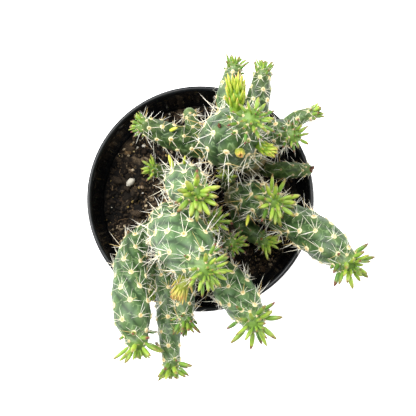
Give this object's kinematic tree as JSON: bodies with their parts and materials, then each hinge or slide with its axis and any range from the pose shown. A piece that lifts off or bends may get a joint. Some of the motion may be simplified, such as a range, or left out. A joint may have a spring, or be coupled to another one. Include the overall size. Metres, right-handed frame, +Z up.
{
  "type": "potted cholla cactus",
  "caption": "Small branching cholla cactus with spiny tubercled stems and leafy tips, rooted in soil in a round tapered plastic nursery pot.",
  "frame": {"origin": "centre of the pot's flat underside, on the axis of the pot", "axes": "+Z up along the axis of the pot, +X to the right and +Y to the back as the picture shows the plant from above"},
  "size_m": [0.119, 0.1381, 0.162],
  "materials": {
    "pot": "glossy black plastic, moulded, with a smooth inner wall",
    "soil": "dark damp peat mix with brown crumbs, tan grains and white perlite",
    "stem": "matt waxy green skin with cream areoles and pale spines",
    "leaves": "soft lime green leaves with maroon tips",
    "lime_bud": "bright yellow-green young leaves with pinkish tips",
    "gold_bud": "yellow-green young leaves flushed with gold and pink"
  },
  "bodies": {
    "root": {"pot": "pot", "soil": "soil", "bud_back_lime": "lime_bud", "bud_back_side": "lime_bud", "bud_back_small": "gold_bud", "bud_front_gold": "gold_bud", "leaves_back_left": "leaves", "leaves_back_main": "leaves", "leaves_back_right": "leaves", "leaves_centre_main": "leaves", "leaves_front_low": "leaves", "leaves_front_main": "leaves", "leaves_front_right": "leaves", "leaves_front_short": "leaves", "leaves_front_slim": "leaves", "leaves_inner_lower": "leaves", "leaves_inner_upper": "leaves", "leaves_left_long": "leaves", "leaves_left_low": "leaves", "leaves_left_upper": "leaves", "leaves_middle_low": "leaves", "leaves_right_inner": "leaves", "leaves_right_long": "leaves", "leaves_right_main": "leaves", "leaves_right_tip": "leaves", "leaves_right_upper": "leaves", "stem_back_left": "stem", "stem_back_main": "stem", "stem_back_right": "stem", "stem_centre_main": "stem", "stem_front_low": "stem", "stem_front_main": "stem", "stem_front_right": "stem", "stem_front_short": "stem", "stem_front_slim": "stem", "stem_inner_lower": "stem", "stem_inner_upper": "stem", "stem_left_long": "stem", "stem_left_low": "stem", "stem_left_small": "stem", "stem_left_upper": "stem", "stem_middle_low": "stem", "stem_right_inner": "stem", "stem_right_long": "stem", "stem_right_low": "stem", "stem_right_main": "stem", "stem_right_tip": "stem", "stem_right_upper": "stem"}
  },
  "joints": []
}
